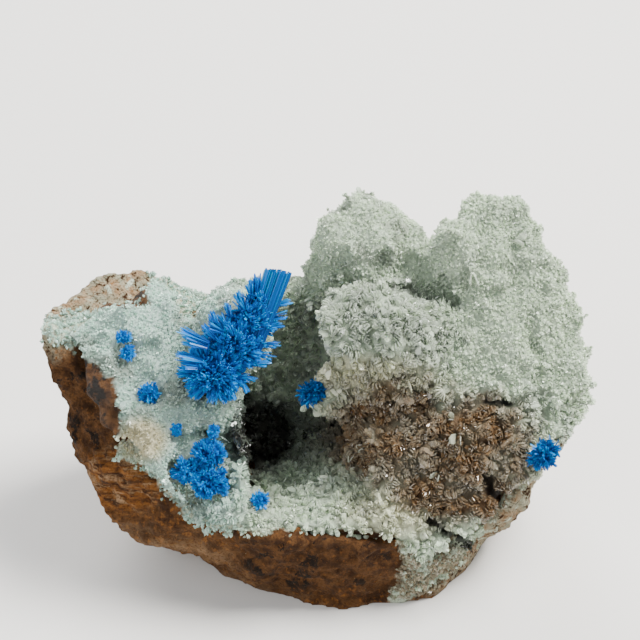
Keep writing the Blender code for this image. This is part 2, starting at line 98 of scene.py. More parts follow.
# Outline of the crystal covered area on the display side, as (x, rise)
DRUSE_OUTLINE = [
    (-30.1, 19.5), (-29.1, 18.8), (-24.7, 16.5), (-22.1, 14.7), (-21.2, 10.3), (-21.8, 6.6),
    (-19.0, 5.0), (-15.0, 0.2), (-12.1, -1.8), (-7.1, -2.0), (-2.3, -1.7), (2.0, -1.7),
    (8.0, -2.1), (8.8, -6.1), (7.2, -9.2), (8.5, -9.9), (12.8, -7.2), (16.6, -2.5),
    (21.0, 2.4), (25.4, 7.8), (29.4, 10.3), (34.0, 12.0), (34.0, 45.0), (-18.0, 45.0),
    (-18.4, 22.6), (-21.8, 22.1), (-26.5, 21.6), (-29.1, 21.0), (-30.5, 20.6),
]

# Lengths in millimetres: cell of each skin, spacing of the crystals' roots, their distance from
# a spray and from hidden contact with the stone
STONE_CELL = 0.32
DRUSE_CELL = 0.34
DRUSE_SPACING = 0.42
CRUST_SPACING = 0.41
CLEAR_OF = 0.35
# Length of the druse's crystals in each region, and below what length they are plain spikes
FLOOR_CRYSTAL, TOWER_CRYSTAL, LEFT_CRYSTAL, RIGHT_CRYSTAL = 0.80, 0.35, 0.38, 0.44
BROWN_CRYSTAL, LIP_CRYSTAL, BACK_CRYSTAL, CRUST_CRYSTAL = 0.95, 1.05, 0.62, 0.46
LARGE_PLATE = 1.5
FINE_BELOW = 0.64
LEFT_EDGE = -14  # the druse is cut to its outline left of this, also where it is out of sight
MOST_TRIANGLES = 190000  # in one piece

# Colours that the stone shares with the bare edge of the druse
STONE_BLACK = (0.008, 0.005, 0.003)
STONE_DARK = (0.036, 0.014, 0.004)
STONE_BROWN = (0.110, 0.047, 0.014)
STONE_ORANGE = (0.26, 0.095, 0.018)


def smooth_step(low, high, values):
    share = np.clip((values - low) / (high - low), 0, 1)
    return share * share * (3 - 2 * share)


def on_display(points):
    """Where each point lies on the display side, as (x, rise) in millimetres from the origin."""
    offset = points - np.array(VIEW_TARGET)
    near = VIEW_DISTANCE / (VIEW_DISTANCE - offset @ TO_VIEWER)
    x = offset[:, 0] * near + VIEW_TARGET.x
    rise = offset @ UPWARD * near + VIEW_TARGET.dot(VIEW_UP)
    return np.stack([x, rise], axis=1) / MM


def in_region(points, region, soft=0.3):
    """1 inside a region of the display side and 0 outside it."""
    reach = (on_display(points) - np.array(region[0])) / np.array(region[1])
    return 1 - smooth_step(1 - soft, 1 + soft, np.hypot(reach[:, 0], reach[:, 1]))


def from_segment(places, start, end):
    """The distance of each place on the display side from a straight segment."""
    start, end = np.array(start), np.array(end)
    along = end - start
    share = np.clip((places - start) @ along / (along @ along), 0, 1)
    return np.linalg.norm(places - start - share[:, None] * along, axis=1)


def inside_outline(places, corners):
    """How far each place lies inside an outline, in millimetres: below 0 outside it."""
    inside = np.zeros(len(places), bool)
    nearest = np.full(len(places), np.inf)
    for start, end in zip(corners, corners[1:] + corners[:1]):
        nearest = np.minimum(nearest, from_segment(places, start, end))
        if start[1] == end[1]:
            continue
        between = (places[:, 1] < start[1]) != (places[:, 1] < end[1])
        cross = start[0] + (places[:, 1] - start[1]) * (end[0] - start[0]) / (end[1] - start[1])
        inside ^= between & (places[:, 0] < cross)
    return np.where(inside, nearest, -nearest)


def clouds(points, size, seed):
    """Soft noise at each point, about -1 to 1."""
    return np.array([noise.noise(Vector(p) / (size * MM) + Vector((seed, 2 * seed, 4))) for p in points])


# Node groups and materials


def new_group(name, inputs, output):
    group = bpy.data.node_groups.new(name, "ShaderNodeTree")
    for label, value in inputs:
        socket = group.interface.new_socket(label, in_out="INPUT", socket_type="NodeSocketFloat")
        socket.default_value = value
    group.interface.new_socket(output, in_out="OUTPUT", socket_type="NodeSocketFloat")
    return group, group.nodes.new("NodeGroupInput"), group.nodes.new("NodeGroupOutput")


def add_noise(group, entry, coordinates, detail, roughness):
    made = group.nodes.new("ShaderNodeTexNoise")
    made.inputs["Detail"].default_value = detail
    made.inputs["Roughness"].default_value = roughness
    group.links.new(coordinates, made.inputs["Vector"])
    group.links.new(entry.outputs["Size per metre"], made.inputs["Scale"])
    return made.outputs["Fac"]


def add_limits(group, entry, value):
    made = group.nodes.new("ShaderNodeMapRange")
    made.interpolation_type = "SMOOTHSTEP"
    group.links.new(value, made.inputs["Value"])
    group.links.new(entry.outputs["Low"], made.inputs["From Min"])
    group.links.new(entry.outputs["High"], made.inputs["From Max"])
    return made.outputs["Result"]


def mottle_group():
    """A blotchy mask at one size, sharpened between a low and a high limit."""
    inputs = [("Size per metre", 300.0), ("Low", 0.4), ("High", 0.6)]
    group, entry, leave = new_group("mineral_mottle", inputs, "Mask")
    place = group.nodes.new("ShaderNodeTexCoord")
    blotches = add_noise(group, entry, place.outputs["Object"], 5, 0.62)
    group.links.new(add_limits(group, entry, blotches), leave.inputs["Mask"])
    return group


def fibre_group():
    """Streaks that run down and to the right over the display side."""
    inputs = [("Size per metre", 300.0), ("Low", 0.4), ("High", 0.6)]
    group, entry, leave = new_group("rock_fibres", inputs, "Mask")
    place = group.nodes.new("ShaderNodeTexCoord")
    turn = group.nodes.new("ShaderNodeMapping")
    turn.inputs["Rotation"].default_value = (0.2, math.radians(35), 0.3)
    turn.inputs["Scale"].default_value = (0.16, 1.0, 1.0)
    group.links.new(place.outputs["Object"], turn.inputs["Vector"])
    streaks = add_noise(group, entry, turn.outputs["Vector"], 5, 0.65)
    group.links.new(add_limits(group, entry, streaks), leave.inputs["Mask"])
    return group


def grain_group():
    """Fine grain for bump and roughness, at one size."""
    group, entry, leave = new_group("mineral_grain", [("Size per metre", 3000.0)], "Height")
    place = group.nodes.new("ShaderNodeTexCoord")
    group.links.new(add_noise(group, entry, place.outputs["Object"], 6, 0.72), leave.inputs["Height"])
    return group


MOTTLE = mottle_group()
FIBRES = fibre_group()
GRAIN = grain_group()


def start_material(name, **sockets):
    """A material with its values set on the shader itself: an underscore stands for a space."""
    made = bpy.data.materials.new(name)
    made.use_nodes = True
    shader = made.node_tree.nodes["Principled BSDF"]
    for label, value in sockets.items():
        shader.inputs[label.replace("_", " ")].default_value = value
    return made, made.node_tree, shader


def add_mottle(tree, size, low, high, group=None):
    made = tree.nodes.new("ShaderNodeGroup")
    made.node_tree = group or MOTTLE
    made.inputs["Size per metre"].default_value = size
    made.inputs["Low"].default_value = low
    made.inputs["High"].default_value = high
    return made.outputs["Mask"]


def add_grain(tree, size):
    made = tree.nodes.new("ShaderNodeGroup")
    made.node_tree = GRAIN
    made.inputs["Size per metre"].default_value = size
    return made.outputs["Height"]


def add_mask(tree, name):
    made = tree.nodes.new("ShaderNodeAttribute")
    made.attribute_name = name
    return made.outputs["Fac"]


def blend_colour(tree, share, first, second):
    """Mixes two colours, or outputs that carry one, by a mask."""
    made = tree.nodes.new("ShaderNodeMix")
    made.data_type = "RGBA"
    tree.links.new(share, made.inputs["Factor"])
    for label, value in (("A", first), ("B", second)):
        target = next(s for s in made.inputs if s.name == label and s.type == "RGBA")
        if isinstance(value, tuple):
            target.default_value = (*value, 1.0)
        else:
            tree.links.new(value, target)
    return next(s for s in made.outputs if s.type == "RGBA")


def multiply(tree, first, second):
    made = tree.nodes.new("ShaderNodeMath")
    made.operation = "MULTIPLY"
    for socket, value in zip(made.inputs, (first, second)):
        if isinstance(value, float):
            socket.default_value = value
        else:
            tree.links.new(value, socket)
    return made.outputs["Value"]


def ranged(tree, value, low, high):
    made = tree.nodes.new("ShaderNodeMapRange")
    made.inputs["To Min"].default_value = low
    made.inputs["To Max"].default_value = high
    tree.links.new(value, made.inputs["Value"])
    return made.outputs["Result"]


def add_bump(tree, shader, height, strength, distance):
    made = tree.nodes.new("ShaderNodeBump")
    made.inputs["Strength"].default_value = strength
    made.inputs["Distance"].default_value = distance
    tree.links.new(height, made.inputs["Height"])
    tree.links.new(made.outputs["Normal"], shader.inputs["Normal"])


def basalt_material():
    made, tree, shader = start_material("brown_basalt", Roughness=0.85, Specular_IOR_Level=0.18)
    black, dark, mid, orange = STONE_BLACK, STONE_DARK, STONE_BROWN, STONE_ORANGE
    beige = (0.34, 0.205, 0.105)
    grey = (0.34, 0.33, 0.23)
    pale = (0.56, 0.62, 0.48)
    fleck = (0.24, 0.19, 0.12)
    body = blend_colour(tree, add_mottle(tree, 380.0, 0.42, 0.58), mid, dark)
    body = blend_colour(tree, add_mottle(tree, 1300.0, 0.52, 0.68), body, orange)
    face = blend_colour(tree, add_mottle(tree, 900.0, 0.40, 0.62), mid, dark)
    face = blend_colour(tree, add_mottle(tree, 520.0, 0.54, 0.60), face, black)
    body = blend_colour(tree, add_mask(tree, "dark_face"), body, face)
    streaks = blend_colour(tree, add_mottle(tree, 1500.0, 0.36, 0.62, FIBRES), orange, dark)
    streaks = blend_colour(tree, add_mottle(tree, 900.0, 0.48, 0.66, FIBRES), streaks, beige)
    body = blend_colour(tree, add_mask(tree, "fibrous"), body, streaks)
    below = blend_colour(tree, add_mottle(tree, 450.0, 0.36, 0.66), beige, mid)
    body = blend_colour(tree, add_mask(tree, "underside"), body, below)
    side = blend_colour(tree, add_mottle(tree, 700.0, 0.35, 0.70), grey, beige)
    side = blend_colour(tree, add_mottle(tree, 1500.0, 0.52, 0.62), side, dark)
    side = blend_colour(tree, add_mottle(tree, 600.0, 0.56, 0.64), side, pale)
    body = blend_colour(tree, add_mask(tree, "pale_side"), body, side)
    body = blend_colour(tree, add_mask(tree, "crust"), body, pale)
    body = blend_colour(tree, multiply(tree, add_mottle(tree, 4200.0, 0.50, 0.60), 0.55), body, dark)
    body = blend_colour(tree, multiply(tree, add_mottle(tree, 2600.0, 0.58, 0.68), 0.5), body, orange)
    body = blend_colour(tree, add_mottle(tree, 3400.0, 0.68, 0.74), body, fleck)
    tree.links.new(body, shader.inputs["Base Color"])
    add_bump(tree, shader, add_grain(tree, 1900.0), 1.0, 0.6 * MM)
    return made


def druse_skin_material():
    made, tree, shader = start_material("druse_under_crystals", Roughness=0.55, Specular_IOR_Level=0.3)
    pale = (0.66, 0.77, 0.59)
    grey = (0.42, 0.51, 0.39)
    body = blend_colour(tree, add_mottle(tree, 1500.0, 0.35, 0.65), pale, grey)
    # Painted cool light on the left side
    body = blend_colour(tree, multiply(tree, add_mask(tree, "painted_cool_light"), 0.6), body, (0.48, 0.68, 0.66))
    body = blend_colour(tree, multiply(tree, add_mask(tree, "shade"), 0.6), body, (0.24, 0.26, 0.20))
    body = blend_colour(tree, add_mask(tree, "cream"), body, (0.62, 0.57, 0.37))
    body = blend_colour(tree, add_mask(tree, "brown"), body, (0.15, 0.090, 0.045))
    # Painted shade: near black in the hollow and the slots
    body = blend_colour(tree, add_mask(tree, "dark"), body, (0.014, 0.012, 0.010))
    stone = blend_colour(tree, add_mottle(tree, 900.0, 0.40, 0.62), STONE_BROWN, STONE_DARK)
    stone = blend_colour(tree, add_mottle(tree, 520.0, 0.54, 0.60), stone, STONE_BLACK)
    body = blend_colour(tree, add_mask(tree, "bare"), body, stone)
    tree.links.new(body, shader.inputs["Base Color"])
    add_bump(tree, shader, add_grain(tree, 3600.0), 1.0, 0.6 * MM)
    return made


def crystal_material(name, clarity, roughness, clear, milky):
    """A see-through crystal: clarity is its transmission, and its colour runs from clear to milky."""
    made, tree, shader = start_material(name, IOR=1.5, Roughness=roughness, Transmission_Weight=clarity)
    body = blend_colour(tree, add_mask(tree, "tint"), clear, milky)
    # Painted cool light on the left side
    body = blend_colour(tree, multiply(tree, add_mask(tree, "painted_cool_light"), 0.7), body, (0.72, 0.97, 0.90))
    body = blend_colour(tree, multiply(tree, add_mask(tree, "shade"), 0.45), body, (0.45, 0.50, 0.44))
    body = blend_colour(tree, add_mask(tree, "cream"), body, (0.88, 0.83, 0.60))
    body = blend_colour(tree, add_mask(tree, "brown"), body, (0.36, 0.225, 0.115))
    # Painted shade: near black in the hollow and the slots
    body = blend_colour(tree, add_mask(tree, "dark"), body, (0.022, 0.020, 0.016))
    tree.links.new(body, shader.inputs["Base Color"])
    return made


def cavansite_material():
    made, tree, shader = start_material(
        "vivid_blue_cavansite", IOR=1.54, Transmission_Weight=0.1, Specular_IOR_Level=0.12,
    )
    # The colour runs deep at each needle's root and lighter towards its tip: painted shade at the roots
    # and painted highlights at the tips
    deep = (0.0, 0.045, 0.26)
    azure = (0.0, 0.145, 0.56)
    painted_light = (0.0, 0.34, 0.72)
    tip = add_mask(tree, "tip")
    body = blend_colour(tree, tip, deep, azure)
    body = blend_colour(tree, multiply(tree, add_mask(tree, "tint"), tip), body, painted_light)
    body = blend_colour(tree, add_mask(tree, "shaded"), body, (0.0, 0.030, 0.12))
    tree.links.new(body, shader.inputs["Base Color"])
    tree.links.new(ranged(tree, add_grain(tree, 3000.0), 0.16, 0.4), shader.inputs["Roughness"])
    return made


def cavansite_core_material():
    made, tree, shader = start_material(
        "cavansite_core_painted_shade", Roughness=0.8, Specular_IOR_Level=0.1,
    )
    # The core's dark colour is painted shade between the needles
    body = blend_colour(tree, add_mottle(tree, 3500.0, 0.4, 0.6), (0.0, 0.020, 0.13), (0.0, 0.07, 0.32))
    tree.links.new(body, shader.inputs["Base Color"])
    add_bump(tree, shader, add_grain(tree, 5000.0), 1.0, 0.3 * MM)
    return made


BASALT = basalt_material()
DRUSE_SKIN = druse_skin_material()
DRUSE_CRYSTAL = crystal_material("pale_druse_crystal", 0.5, 0.12, (0.90, 1.0, 0.83), (0.82, 0.94, 0.74))
CLEAR_CRYSTAL = crystal_material("clear_lip_crystal", 0.65, 0.04, (0.93, 1.0, 0.88), (0.86, 0.95, 0.78))
CAVANSITE = cavansite_material()
CAVANSITE_CORE = cavansite_core_material()


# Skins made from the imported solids


def new_piece(name, mesh, material):
    made = bpy.data.objects.new(name, mesh)
    bpy.context.scene.collection.objects.link(made)
    mesh.materials.clear()
    mesh.materials.append(material)
    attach(made, "root")
    return made


def add_ball(bm, centre, radii, detail, share=1):
    """An ellipsoid whose radii are a share of the ones named, in millimetres."""
    size = Matrix.Diagonal((*(radius * MM * share for radius in radii), 1))
    shape = Matrix.Translation(Vector(centre) * MM) @ size
    bmesh.ops.create_icosphere(bm, subdivisions=detail, radius=1, matrix=shape)


def fine_skin(node, voxel, smoothing, balls=()):
    """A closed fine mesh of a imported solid, with any filling balls grown into it."""
    bm = bmesh.new()
    bm.from_mesh(nodes[node].data)
    bmesh.ops.remove_doubles(bm, verts=bm.verts, dist=0.001 * MM)
    for centre, radii in balls:
        add_ball(bm, centre, radii, detail=3)
    mesh = bpy.data.meshes.new(node + "_coarse")
    bm.to_mesh(mesh)
    bm.free()
    helper = bpy.data.objects.new(node + "_helper", mesh)
    bpy.context.scene.collection.objects.link(helper)
    skin = helper.modifiers.new("skin", "REMESH")
    skin.mode = "VOXEL"
    skin.voxel_size = voxel * MM
    skin.use_smooth_shade = True
    soft = helper.modifiers.new("soft", "SMOOTH")
    soft.factor = 0.5
    soft.iterations = smoothing
    bpy.context.view_layer.update()
    graph = bpy.context.evaluated_depsgraph_get()
    fine = bpy.data.meshes.new_from_object(helper.evaluated_get(graph), depsgraph=graph)
    bpy.data.objects.remove(helper)
    return fine


def mesh_vectors(mesh, label):
    values = np.empty(len(mesh.vertices) * 3, np.float32)
    mesh.vertices.foreach_get(label, values)
    return values.reshape(-1, 3).astype(float)


def set_points(mesh, points):
    mesh.vertices.foreach_set("co", points.astype(np.float32).ravel())
    mesh.update()


def set_mask(mesh, name, values):
    layer = mesh.attributes.new(name, "FLOAT", "POINT")
    layer.data.foreach_set("value", np.clip(values, 0, 1).astype(np.float32))


def rocky(points, size, seed, octaves=5):
    """Rocky relief at each point, about -1 to 1."""
    shift = Vector((seed, seed, seed))
    return np.array([noise.fractal(Vector(p) / (size * MM) + shift, 0.9, 2.1, octaves) for p in points])


def tree_of(mesh):
    bm = bmesh.new()
    bm.from_mesh(mesh)
    made = BVHTree.FromBMesh(bm)
    bm.free()
    return made


STONE_TREE = tree_of(nodes["basalt_matrix"].data)
DRUSE_TREE = tree_of(nodes["stilbite_druse"].data)
SPRAY_TREES = [tree_of(node.data) for name, node in nodes.items() if name.startswith("cavansite")]


def distance_to(tree, points):
    return np.array([tree.find_nearest(Vector(p))[3] for p in points])


def surface_at(x, rise):
    """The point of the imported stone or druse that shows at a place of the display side."""
    eye = VIEW_TARGET + VIEW_BACK * VIEW_DISTANCE
    across = x * MM - VIEW_TARGET.x
    upward = rise * MM - VIEW_TARGET.dot(VIEW_UP)
    place = VIEW_TARGET + Vector((across, 0, 0)) + VIEW_UP * upward
    hits = [tree.ray_cast(eye, place - eye) for tree in (STONE_TREE, DRUSE_TREE)]
    return min((hit[3], hit[0]) for hit in hits if hit[0] is not None)[1]


def displayed(points, normals):
    """Which points face the display side with nothing of the stone or druse in front of them."""
    shown = normals @ TO_VIEWER > -0.45
    for number in np.flatnonzero(shown):
        start = Vector(points[number]) + Vector(normals[number]) * 0.9 * MM + VIEW_BACK * 1.1 * MM
        for tree in (STONE_TREE, DRUSE_TREE):
            if tree.ray_cast(start, VIEW_BACK)[0] is not None:
                shown[number] = False
    return shown


def pale_area(points, normals, also=False):
    """How far each point lies inside the crystal cover, where it can be seen, and a nan elsewhere."""
    shown = displayed(points, normals) | also
    inside = inside_outline(on_display(points), DRUSE_OUTLINE)
    inside += 0.7 * clouds(points, 1.4, 21.0) + 0.35 * clouds(points, 0.5, 23.0)
    return np.where(shown, inside, np.nan)


def make_stone():
    mesh = fine_skin("basalt_matrix", STONE_CELL, smoothing=2)
    points, normals = mesh_vectors(mesh, "co"), mesh_vectors(mesh, "normal")
    # Broad and fine relief in millimetres, which fades out at the foot
    relief = 0.45 * rocky(points, 3.0, 5.0) + 0.3 * rocky(points, 0.9, 9.0, 4) - 0.15
    above_foot = smooth_step(0.1 * MM, 0.9 * MM, points[:, 2])
    covered = pale_area(points, normals)
    points += normals * (relief * above_foot * MM)[:, None]
    points[:, 2] = np.maximum(points[:, 2], 0.0)
    set_points(mesh, points)
    x, height = points[:, 0] / MM, points[:, 2] / MM
    drift = clouds(points, 4.0, 3.0)
    down = smooth_step(0.1, 0.6, -normals[:, 2] + 0.2 * drift)
    left = 1 - smooth_step(-8, 2, x)
    low_left = left * (1 - smooth_step(5, 10, height + 2 * drift))
    dark_face = np.maximum(in_region(points, DARK_FACE), in_region(points, DARK_RIM))
    set_mask(mesh, "underside", np.maximum(down * 0.8, low_left * 0.75) * (1 - dark_face))
    set_mask(mesh, "fibrous", in_region(points, FIBROUS_ROCK))
    set_mask(mesh, "dark_face", dark_face)
    right = smooth_step(10, 14, x + 2 * drift) * (1 - smooth_step(3, 9, points[:, 1] / MM))
    ledge = left * smooth_step(23.0, 25.0, height + drift)
    set_mask(mesh, "pale_side", np.maximum(right, ledge) * (1 - dark_face))
    crust = smooth_step(-0.1, 0.3, np.nan_to_num(covered, nan=-9.0))
    crust *= smooth_step(-0.3, 0.0, normals @ TO_VIEWER)
    set_mask(mesh, "crust", crust)
    piece = new_piece("basalt_stone", mesh, BASALT)
    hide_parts("basalt_matrix")
    return piece


def in_brown_patches(points, soft=0.3):
    return np.max([in_region(points, patch, soft) for patch in BROWN_PATCHES], axis=0)


def brown_of(points):
    """Brown staining over the lower right of the druse."""
    front = 1 - smooth_step(3, 9, points[:, 1] / MM)
    ragged = points + UPWARD * (1.3 * MM * clouds(points, 1.5, 45.0))[:, None]
    lower = in_brown_patches(ragged, 0.42)
    return np.clip(lower * (0.9 + 0.45 * clouds(points, 3.2, 9.0)), 0, 1) * front


def painted_hollow_and_slot_shade(points):
    """Painted shade: the depth of the hollow and the dark slots, darkened in colour."""
    front = 1 - smooth_step(9, 12, points[:, 1] / MM)
    shade = 0.45 * in_region(points, HOLLOW_SHADE, 0.4) * smooth_step(-6.0, -2.0, points[:, 1] / MM)
    return np.maximum(np.maximum(0.97 * hollow_of(points), shade) * front, 0.9 * slot_of(points))


def hollow_of(points):
    """The mouth of the hollow, with a ragged edge."""
    ragged = points + UPWARD * (0.9 * MM * clouds(points, 1.6, 41.0))[:, None]
    return in_region(ragged, HOLLOW, 0.3)


def slot_of(points):
    """The dark slots."""
    places = on_display(points)
    depths = []
    for start, end, half in SLOTS:
        depths.append(1 - smooth_step(0.7 * half, 1.3 * half, from_segment(places, start, end)))
    return np.max(depths, axis=0)


def cream_of(points):
    """Warm, yellowish crystals: the lump at the left and weaker along the lip's edge and the floor."""
    front = points[:, 1] < 3 * MM
    warm = np.maximum(in_region(points, LIP_EDGE, 0.5), in_region(points, WARM_FLOOR, 0.5))
    return np.maximum(in_region(points, CREAM_LUMP, 0.4), 0.6 * warm) * front


def druse_masks(points):
    """The shares of each colour at points of the druse."""
    # Painted cool light: the left side is tinted bluer
    painted_cool_light = 1 - smooth_step(-11, -6, points[:, 0] / MM + 1.5 * clouds(points, 3.0, 33.0))
    drift = clouds(points, 3.4, 27.0) + 0.5 * clouds(points, 1.2, 29.0)
    x, rise = on_display(points).T
    # The shade mask holds grey patches at random and a darker lip; on the upper right of the tower it is
    # lifted, which is painted light
    painted_light = 0.8 * smooth_step(13, 17, x) * smooth_step(12, 15, rise)
    shade = np.maximum(smooth_step(0.0, 0.5, drift), 0.4 * in_region(points, LIP)) * (1 - painted_light)
    return {
        "brown": brown_of(points), "dark": painted_hollow_and_slot_shade(points), "cream": cream_of(points),
        "painted_cool_light": painted_cool_light, "shade": shade,
    }


def make_druse_skin(balls):
    mesh = fine_skin("stilbite_druse", DRUSE_CELL, smoothing=9, balls=balls)
    points, normals = mesh_vectors(mesh, "co"), mesh_vectors(mesh, "normal")
    relief = 0.3 * rocky(points, 1.6, 15.0, 3) - 0.25
    covered = pale_area(points, normals, points[:, 0] < LEFT_EDGE * MM)
    facing = normals @ TO_VIEWER > 0
    relief -= 0.8 * slot_of(points) * facing
    place, half_width, depth = VALLEY
    x, rise = on_display(points).T
    notch = np.exp(-(((x - place) / half_width) ** 2)) * smooth_step(27.5, 30.5, rise)
    # The recess at the hollow's mouth, in millimetres along the line of sight
    back = 5.0 * hollow_of(points) * smooth_step(-0.3, 0.3, normals @ TO_VIEWER)
    back *= 1 - smooth_step(-4.0, -1.0, points[:, 1] / MM)
    points += normals * (relief * MM)[:, None] - TO_VIEWER * (back * MM)[:, None]
    points[:, 2] -= depth * MM * notch
    set_points(mesh, points)
    for label, values in druse_masks(points).items():
        set_mask(mesh, label, values)
    set_mask(mesh, "bare", 1 - smooth_step(-0.3, 0.1, np.nan_to_num(covered, nan=9.0)))
    piece = new_piece("druse_base", mesh, DRUSE_SKIN)
    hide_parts("stilbite_druse")
    return piece


# Crystals


def crystal_shape(sides, shoulder, root, tip_width, tip_thickness):
    """A crystal one unit long, wide and thick: a column that widens from its root to a shoulder and
    narrows to a tip. Returns its corners and its triangles."""
    bm = bmesh.new()
    turned = Matrix.Rotation(math.pi / sides, 4, "Z")
    ring = bmesh.ops.create_circle(bm, segments=sides, radius=0.5 * root, matrix=turned)["verts"]
    edges = list({edge for vert in ring for edge in vert.link_edges})
    steps = ((shoulder, 1 / root, 1 / root), (1 - shoulder, tip_width, tip_thickness))
    for rise, across, deep in steps:
        made = bmesh.ops.extrude_edge_only(bm, edges=edges)["geom"]
        ring = [item for item in made if isinstance(item, bmesh.types.BMVert)]
        edges = [item for item in made if isinstance(item, bmesh.types.BMEdge)]
        edges = [edge for edge in edges if all(vert in ring for vert in edge.verts)]
        bmesh.ops.translate(bm, vec=(0, 0, rise), verts=ring)
        bmesh.ops.scale(bm, vec=(across, deep, 1), verts=ring)
    if tip_width == 0:
        bmesh.ops.pointmerge(bm, verts=ring, merge_co=(0, 0, 1))
    else:
        bmesh.ops.contextual_create(bm, geom=edges)
    bmesh.ops.recalc_face_normals(bm, faces=bm.faces)
    bmesh.ops.triangulate(bm, faces=bm.faces)
    bm.verts.index_update()
    corners = np.array([vert.co for vert in bm.verts])
    faces = np.array([[vert.index for vert in face.verts] for face in bm.faces])
    bm.free()
    return corners, faces


def unit(vectors):
    return vectors / np.maximum(np.linalg.norm(vectors, axis=-1, keepdims=True), 1e-9)


def random_ways(count):
    return unit(rng.normal(size=(count, 3)))


def crystals_mesh(name, shape, roots, ways, sides, sizes, masks):
    """One mesh of many copies of a crystal: roots are its feet, ways its long direction, sides its
    width direction and sizes its width, thickness and length."""
    corners, faces = shape
    ways = unit(ways)
    sides = unit(sides - ways * np.sum(sides * ways, axis=1)[:, None])
    backs = np.cross(ways, sides)
    count, per = len(roots), len(corners)
    scaled = corners[None, :, :] * sizes[:, None, :]
    points = (
        roots[:, None, :]
        + sides[:, None, :] * scaled[:, :, 0:1]
        + backs[:, None, :] * scaled[:, :, 1:2]
        + ways[:, None, :] * scaled[:, :, 2:3]
    ).reshape(-1, 3)
    index = (faces[None, :, :] + (np.arange(count) * per)[:, None, None]).reshape(-1)
    mesh = bpy.data.meshes.new(name)
    mesh.vertices.add(len(points))
    mesh.vertices.foreach_set("co", points.astype(np.float32).ravel())
    mesh.loops.add(len(index))
    mesh.loops.foreach_set("vertex_index", index.astype(np.int32))
    total = len(index) // 3
    mesh.polygons.add(total)
    mesh.polygons.foreach_set("loop_start", np.arange(0, total * 3, 3, dtype=np.int32))
    mesh.update(calc_edges=True)
    mesh.shade_flat()
    for label, values in masks.items():
        set_mask(mesh, label, np.repeat(values, per))
    set_mask(mesh, "tip", np.tile(corners[:, 2], count))
    return mesh


TRIES_PER_CELL = 5
CELL_KEY = (73856093, 19349663, 83492791)


def scatter(mesh, spacing):
    """Points spread evenly over a mesh, one in each cell of the spacing, with the faces' normals."""
    mesh.calc_loop_triangles()
    count = len(mesh.loop_triangles)
    corner = np.empty(count * 3, np.int32)
    mesh.loop_triangles.foreach_get("vertices", corner)
    corner = corner.reshape(-1, 3)
    points = mesh_vectors(mesh, "co")
    a, b, c = (points[corner[:, i]] for i in range(3))
    cross = np.cross(b - a, c - a)
    area = np.linalg.norm(cross, axis=1) / 2
    wanted = int(area.sum() / (spacing * MM) ** 2 * TRIES_PER_CELL)
    chosen = rng.choice(count, wanted, p=area / area.sum())
    u, v = rng.random(wanted), rng.random(wanted)
    over = u + v > 1
    u[over], v[over] = 1 - u[over], 1 - v[over]
    where = a[chosen] + (b[chosen] - a[chosen]) * u[:, None] + (c[chosen] - a[chosen]) * v[:, None]
    cell = np.floor(where / (spacing * MM)).astype(np.int64)
    key = cell[:, 0] * CELL_KEY[0] ^ cell[:, 1] * CELL_KEY[1] ^ cell[:, 2] * CELL_KEY[2]
    first = np.unique(key, return_index=True)[1]
    rng.shuffle(first)
    return where[first], unit(cross[chosen[first]])


FINE_CRYSTAL = crystal_shape(sides=3, shoulder=0.7, root=0.8, tip_width=0, tip_thickness=0)
PLATE_CRYSTAL = crystal_shape(sides=4, shoulder=0.72, root=0.65, tip_width=0.5, tip_thickness=0.8)
NEEDLE = crystal_shape(sides=3, shoulder=0.9, root=0.8, tip_width=0.5, tip_thickness=0.5)
PRISM = crystal_shape(sides=6, shoulder=0.97, root=0.9, tip_width=0.85, tip_thickness=0.85)


def crystal_sizes(points, normals):
    """The size of the druse's crystals in millimetres, by region."""
    facing = smooth_step(-0.1, 0.4, normals @ TO_VIEWER)
    x, rise = on_display(points).T
    size = np.full(len(points), FLOOR_CRYSTAL)
    size += (TOWER_CRYSTAL - size) * smooth_step(23.0, 26.0, rise)
    size += (LEFT_CRYSTAL - size) * (1 - smooth_step(-13, -9, x)) * (rise > 0)
    size += (RIGHT_CRYSTAL - size) * smooth_step(12, 15, x) * smooth_step(11, 14, rise)
    size += (BROWN_CRYSTAL - size) * in_brown_patches(points)
    size += (LIP_CRYSTAL - size) * in_region(points, LIP) * facing
    size += (BACK_CRYSTAL - size) * smooth_step(5, 8, points[:, 1] / MM) * (1 - facing)
    return size


def free_of_sprays(points):
    """Which points lie far enough from every blue spray."""
    nearest = np.min([distance_to(tree, points) for tree in SPRAY_TREES], axis=0)
    return nearest > CLEAR_OF * MM


def fans(roots, normals, size, in_fan, flatness, masks):
    """Flat crystals that stand as a fan on each root. Flatness is their thickness over their width."""
    size = size * rng.uniform(0.75, 1.3, len(size))
    fan_axis = unit(normals + 0.45 * random_ways(len(roots)))
    spread_way = unit(np.cross(fan_axis, random_ways(len(roots))))
    parts = {label: [] for label in ("root", "way", "side", "size", "tint", *masks)}
    for step in range(in_fan):
        share = (step + 0.5) / in_fan * 2 - 1
        way = unit(fan_axis + spread_way * (0.62 * share) + 0.12 * random_ways(len(roots)))
        length = size * rng.uniform(0.85, 1.4, len(size)) * (1 - 0.2 * share * share)
        width = size * rng.uniform(0.5, 0.95, len(size))
        thickness = width * flatness * rng.uniform(0.7, 1.4, len(size))
        sunk = way * (length * 0.35 * MM)[:, None]
        aside = spread_way * (share * size * 0.22 * MM)[:, None]
        parts["root"].append(roots - sunk + aside)
        parts["way"].append(way)
        parts["side"].append(np.cross(way, spread_way) + 0.25 * random_ways(len(roots)))
        parts["size"].append(np.stack([width, thickness, length], axis=1) * MM)
        parts["tint"].append(rng.random(len(size)) ** 1.5)
        for label, values in masks.items():
            parts[label].append(values * rng.uniform(0.85, 1.1, len(size)))
    return {label: np.concatenate(values) for label, values in parts.items()}


